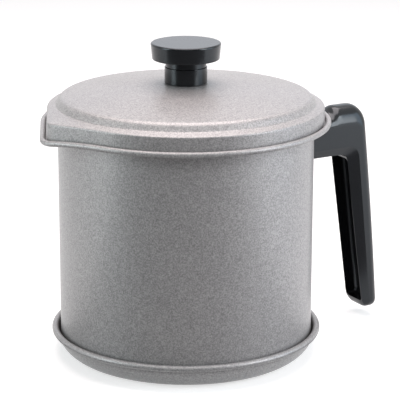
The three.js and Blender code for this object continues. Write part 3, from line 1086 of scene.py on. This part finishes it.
def make_world():
    world = bpy.data.worlds.new("studio")
    bpy.context.scene.world = world
    world.use_nodes = True
    shader = Shader(world.node_tree)
    strength = world_light + seen_directly(shader) * (1 - world_light)
    background = shader.add("ShaderNodeBackground", inputs={"Color": grey(1), "Strength": strength})
    shader.add("ShaderNodeOutputWorld", inputs={"Surface": background})


def make_floor():
    """Pale floor, which the camera sees as white but for the pot's shadow."""
    bm = bmesh.new()
    bmesh.ops.create_circle(bm, cap_ends=True, segments=small_segments, radius=floor_radius)
    floor = new_piece("floor", bm)
    material, shader = new_material("pale_floor")
    place = object_place(shader)
    tone = shader.mix(noise(shader, place, 3), grey(0.36), grey(0.40))
    paper = shader.add("ShaderNodeBsdfDiffuse", inputs={"Color": tone})
    glow = shader.add("ShaderNodeEmission", inputs={"Color": grey(1), "Strength": floor_glow})
    shaded = shader.add("ShaderNodeBsdfDiffuse", inputs={"Color": grey(0.6)})
    white = shader.add("ShaderNodeAddShader", inputs={0: glow, 1: shaded})
    surface = shader.add("ShaderNodeMixShader", inputs={0: seen_directly(shader), 1: paper, 2: white})
    shader.add("ShaderNodeOutputMaterial", inputs={"Surface": surface})
    floor.data.materials.append(material)


def card_row(bm, half_angle, distance, height):
    """Edges of an arc round the pot's axis, on the camera's side."""
    middle = view_azimuth - math.pi / 2
    steps = small_segments // 4
    row = []
    for i in range(steps + 1):
        turn = middle + math.radians(half_angle) * (2 * i / steps - 1)
        row.append(bm.verts.new((distance * math.cos(turn), distance * math.sin(turn), height)))
    return [bm.edges.new(pair) for pair in zip(row, row[1:])]


def make_card(name, start, end, dark, pale):
    """Card in front of the pot, which its sheen mirrors and the camera doesn't see.

    Each of its two edges is an arc with half an angle in degrees, a distance and a height.
    """
    bm = bmesh.new()
    bmesh.ops.bridge_loops(bm, edges=card_row(bm, *start) + card_row(bm, *end))
    card = new_piece(name, bm)
    material, shader = new_material(name)
    tone = shader.mix(noise(shader, object_place(shader), 4), grey(dark), grey(pale))
    paper = shader.add("ShaderNodeBsdfDiffuse", inputs={"Color": tone})
    shader.add("ShaderNodeOutputMaterial", inputs={"Surface": paper})
    card.data.materials.append(material)
    card.visible_camera = False
    return card


# Assembly

def dress(piece, material, body, nodes):
    """Gives a piece its finish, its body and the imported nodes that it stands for."""
    piece.data.materials.clear()
    piece.data.materials.append(material)
    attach(piece, body)
    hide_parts(*nodes)


make_camera()
coat = coated_steel()
moulding = black_moulding()
steel = stainless()
wire = wire_steel()
brass = plain_brass()

dress(make_tray(), coat, "tray", ["drip_tray"])
dress(make_pot(), coat, "pot", ["pot_body"])
dress(make_lid(), coat, "lid", ["lid_shell"])
dress(make_knob(), moulding, "lid", ["knob_cap"])
dress(make_collar(), moulding, "lid", ["knob_collar"])
dress(make_grip(), moulding, "pot", ["handle_grip"])
dress(make_strainer_band(), steel, "strainer", ["strainer_ring"])
dress(make_clamp_ring(), steel, "strainer", ["strainer_clamp_ring"])
dress(make_weave(), wire, "strainer", ["strainer_mesh"])
for turn, side in ((math.pi / 2, "left"), (-math.pi / 2, "right")):
    tab = make_tab(turn, f"pull_tab_{side}")
    dress(tab, steel, "strainer", [f"strainer_tab_{side}"])
knob_screw = make_screw(
    "knob_pan_screw", knob_screw_low, knob_screw_high, knob_screw_shank, knob_screw_head)
dress(knob_screw, steel, "lid", ["knob_screw"])
handle_screw = make_screw(
    "handle_pan_screw", handle_screw_low, handle_screw_high, handle_screw_shank, handle_screw_head)
dress(handle_screw, steel, "pot", ["handle_screw"])
knob_washer = make_washer("knob_flat_washer", knob_washer_low, knob_washer_high, knob_hole)
dress(knob_washer, steel, "lid", ["knob_washer"])
handle_washer = make_washer(
    "handle_flat_washer", handle_washer_low, handle_washer_high, handle_washer_bore)
dress(handle_washer, steel, "pot", ["handle_washer"])

for node, material in (("handle_bracket", steel), ("knob_insert", brass)):
    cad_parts[node].data.materials.clear()
    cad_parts[node].data.materials.append(material)

make_world()
make_floor()
make_card("black_card", (64, 1.25, 0), (64, 1.25, 0.9), 0.02, 0.03)
low_card = make_card("grey_card", (115, 0.078, 0.001), (60, 1.24, 0.001), 0.2, 0.24)
low_card.visible_diffuse = False
low_card.visible_shadow = False
for name, values in lamps.items():
    softbox(name, *values)

bpy.context.scene.view_settings.view_transform = "Standard"
